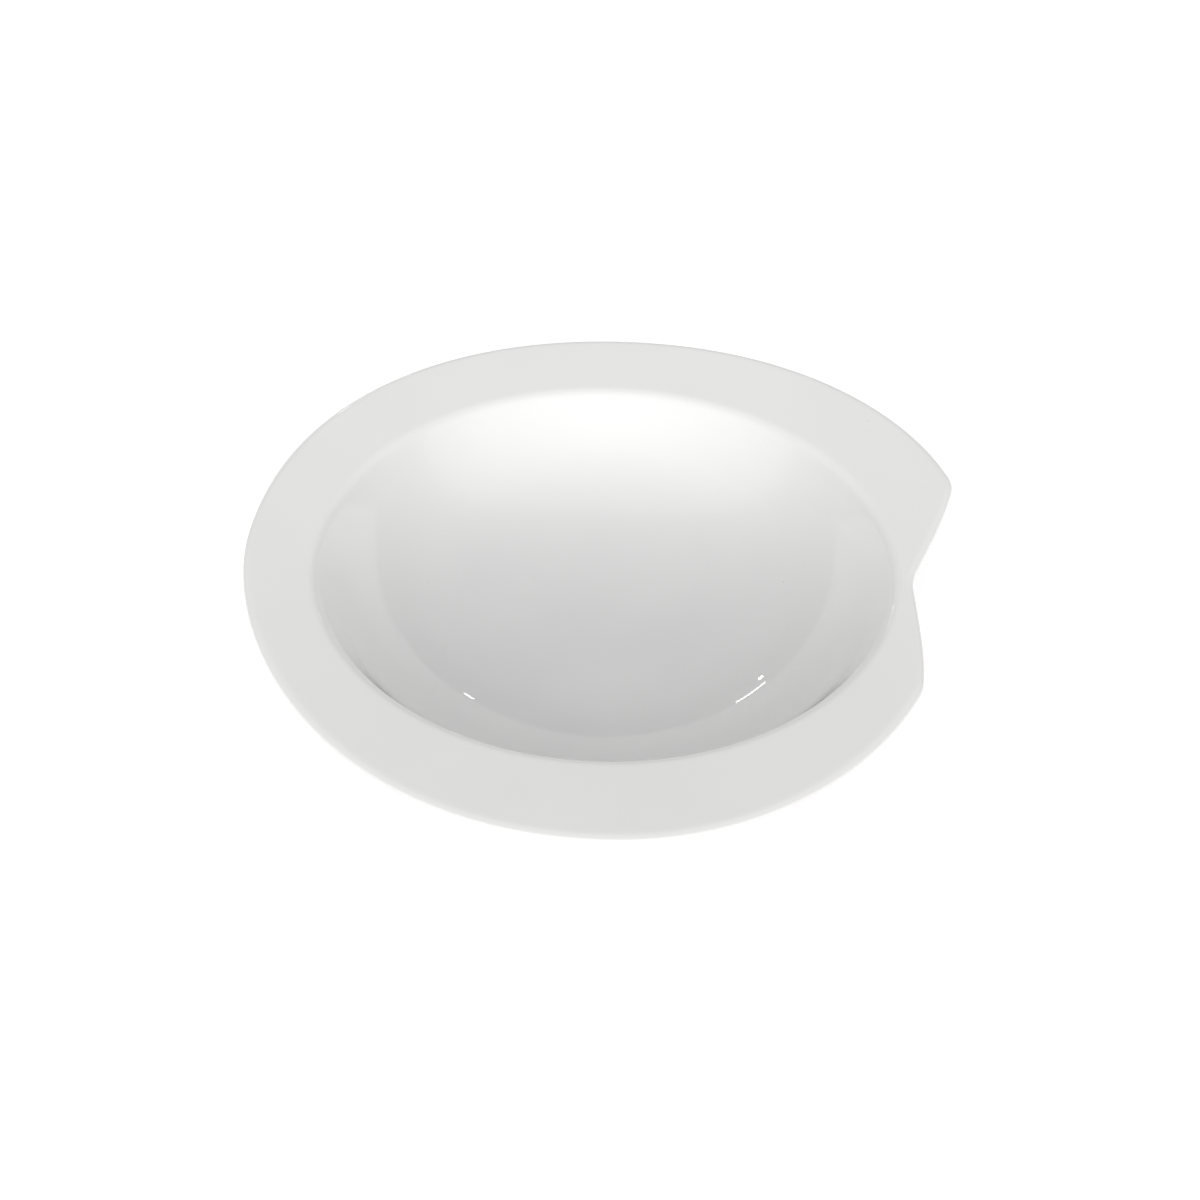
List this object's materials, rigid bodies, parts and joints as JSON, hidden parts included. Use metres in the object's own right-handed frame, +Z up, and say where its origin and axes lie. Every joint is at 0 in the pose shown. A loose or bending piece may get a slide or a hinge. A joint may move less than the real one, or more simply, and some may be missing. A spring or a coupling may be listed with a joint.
{
  "type": "notched dish",
  "caption": "Deep round porcelain dish on a foot ring, with a wide gently rising rim that is cut by a V-shaped notch on one side.",
  "frame": {"origin": "middle of the outline's box, on the plane that the foot ring stands on; the well's axis is vertical and 1.1 mm to the -X side of it", "axes": "+Z up out of the well, +X towards the notch in the rim, +Y along the longer side of the outline, towards the notch's further-out tip"},
  "size_m": [0.2512, 0.267, 0.0615],
  "materials": {
    "porcelain": "glossy white glaze, bare matt contact band under the foot ring"
  },
  "bodies": {
    "root": {"dish_body": "porcelain"}
  },
  "joints": []
}
